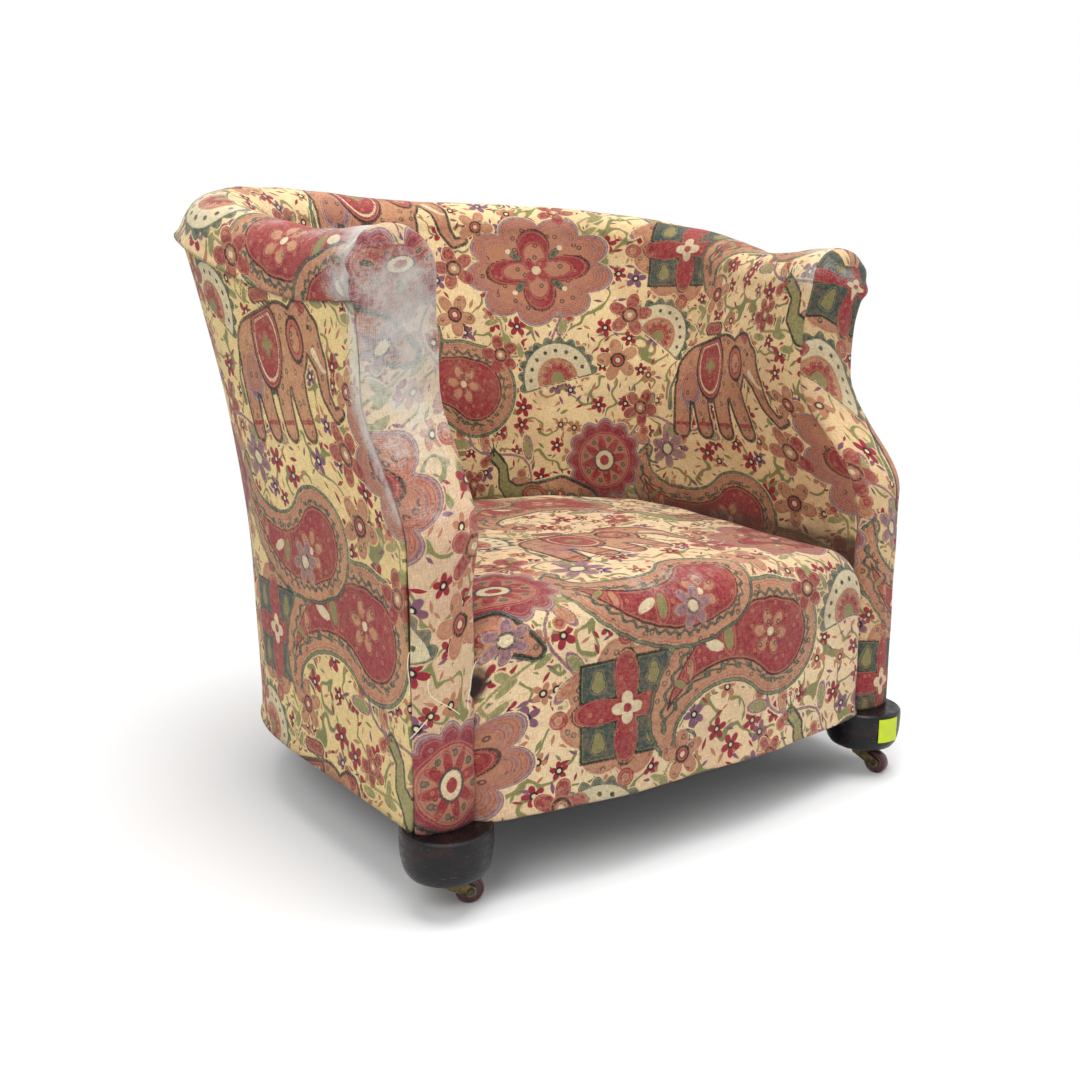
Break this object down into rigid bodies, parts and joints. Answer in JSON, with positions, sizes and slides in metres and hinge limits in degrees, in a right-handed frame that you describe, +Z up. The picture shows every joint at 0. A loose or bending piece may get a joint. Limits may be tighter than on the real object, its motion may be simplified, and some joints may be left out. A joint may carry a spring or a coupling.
{
  "type": "tub armchair",
  "caption": "Low, sagging old tub armchair in worn printed cloth, with a rolled top running over arms and back, on turned dark feet with small brass swivel casters.",
  "frame": {"origin": "on the floor under the middle of the bounding box", "axes": "+Z up, the chair faces -Y, +X is on the left hand of a person who sits in it"},
  "size_m": [0.8184, 0.7183, 0.745],
  "materials": {
    "printed_cloth": "worn printed cotton in straw, tan, crimson, green and mauve",
    "beech": "plain sawn frame timber",
    "stained_wood": "very dark polish, scuffed",
    "jute": "coarse jute",
    "fibre": "matted hair and fibre",
    "black_cotton": "thin dust cloth",
    "dull_brass": "dull and tarnished",
    "dark_steel": "dark",
    "brown_wheel": "red-brown, half gloss",
    "sticker_paper": "matt yellow-green, blank"
  },
  "bodies": {
    "armchair": {"apron_wadding": "fibre", "arm_post_left": "beech", "arm_post_right": "beech", "back_post_left": "beech", "back_post_right": "beech", "caster_plate_back_left": "dull_brass", "caster_plate_back_right": "dull_brass", "caster_plate_front_left": "dull_brass", "caster_plate_front_right": "dull_brass", "corner_block_back_left": "beech", "corner_block_back_right": "beech", "corner_block_front_left": "beech", "corner_block_front_right": "beech", "dust_cover": "black_cotton", "facing_left": "printed_cloth", "facing_right": "printed_cloth", "foot_back_left": "stained_wood", "foot_back_right": "stained_wood", "foot_front_left": "stained_wood", "foot_front_right": "stained_wood", "inside_cover": "printed_cloth", "inside_hessian": "jute", "inside_stuffing": "fibre", "outside_cover": "printed_cloth", "price_sticker": "sticker_paper", "seat_cover": "printed_cloth", "seat_hessian": "jute", "seat_rail_back": "beech", "seat_rail_front": "beech", "seat_rail_left": "beech", "seat_rail_right": "beech", "seat_stuffing": "fibre", "seat_webbing": "jute", "spring_1": "dark_steel", "spring_2": "dark_steel", "spring_3": "dark_steel", "spring_4": "dark_steel", "spring_5": "dark_steel", "stay_rail_back": "beech", "stay_rail_left": "beech", "stay_rail_right": "beech", "top_rail": "beech"},
    "caster_front_left": {"caster_fork_front_left": "dull_brass", "caster_axle_front_left": "dark_steel"},
    "wheel_front_left": {"caster_wheel_front_left": "brown_wheel"},
    "caster_front_right": {"caster_fork_front_right": "dull_brass", "caster_axle_front_right": "dark_steel"},
    "wheel_front_right": {"caster_wheel_front_right": "brown_wheel"},
    "caster_back_left": {"caster_fork_back_left": "dull_brass", "caster_axle_back_left": "dark_steel"},
    "wheel_back_left": {"caster_wheel_back_left": "brown_wheel"},
    "caster_back_right": {"caster_fork_back_right": "dull_brass", "caster_axle_back_right": "dark_steel"},
    "wheel_back_right": {"caster_wheel_back_right": "brown_wheel"}
  },
  "joints": [
    {"name": "swivel_front_left", "type": "hinge", "parent": "armchair", "child": "caster_front_left", "pos_m": [-0.306, -0.312, 0.04], "axis": [0, 0, 1], "continuous": true},
    {"name": "roll_front_left", "type": "hinge", "parent": "caster_front_left", "child": "wheel_front_left", "pos_m": [-0.28508, -0.3188, 0.01432], "axis": [0.309, 0.9511, 0], "continuous": true},
    {"name": "swivel_front_right", "type": "hinge", "parent": "armchair", "child": "caster_front_right", "pos_m": [0.306, -0.312, 0.04], "axis": [0, 0, 1], "continuous": true},
    {"name": "roll_front_right", "type": "hinge", "parent": "caster_front_right", "child": "wheel_front_right", "pos_m": [0.31169, -0.33325, 0.01432], "axis": [0.9659, 0.2588, 0], "continuous": true},
    {"name": "swivel_back_left", "type": "hinge", "parent": "armchair", "child": "caster_back_left", "pos_m": [-0.2291, 0.16365, 0.04], "axis": [0, 0, 1], "continuous": true},
    {"name": "roll_back_left", "type": "hinge", "parent": "caster_back_left", "child": "wheel_back_left", "pos_m": [-0.21108, 0.17627, 0.01432], "axis": [-0.5736, 0.8192, 0], "continuous": true},
    {"name": "swivel_back_right", "type": "hinge", "parent": "armchair", "child": "caster_back_right", "pos_m": [0.2291, 0.16365, 0.04], "axis": [0, 0, 1], "continuous": true},
    {"name": "roll_back_right", "type": "hinge", "parent": "caster_back_right", "child": "wheel_back_right", "pos_m": [0.23943, 0.18307, 0.01432], "axis": [-0.8829, 0.4695, 0], "continuous": true}
  ]
}
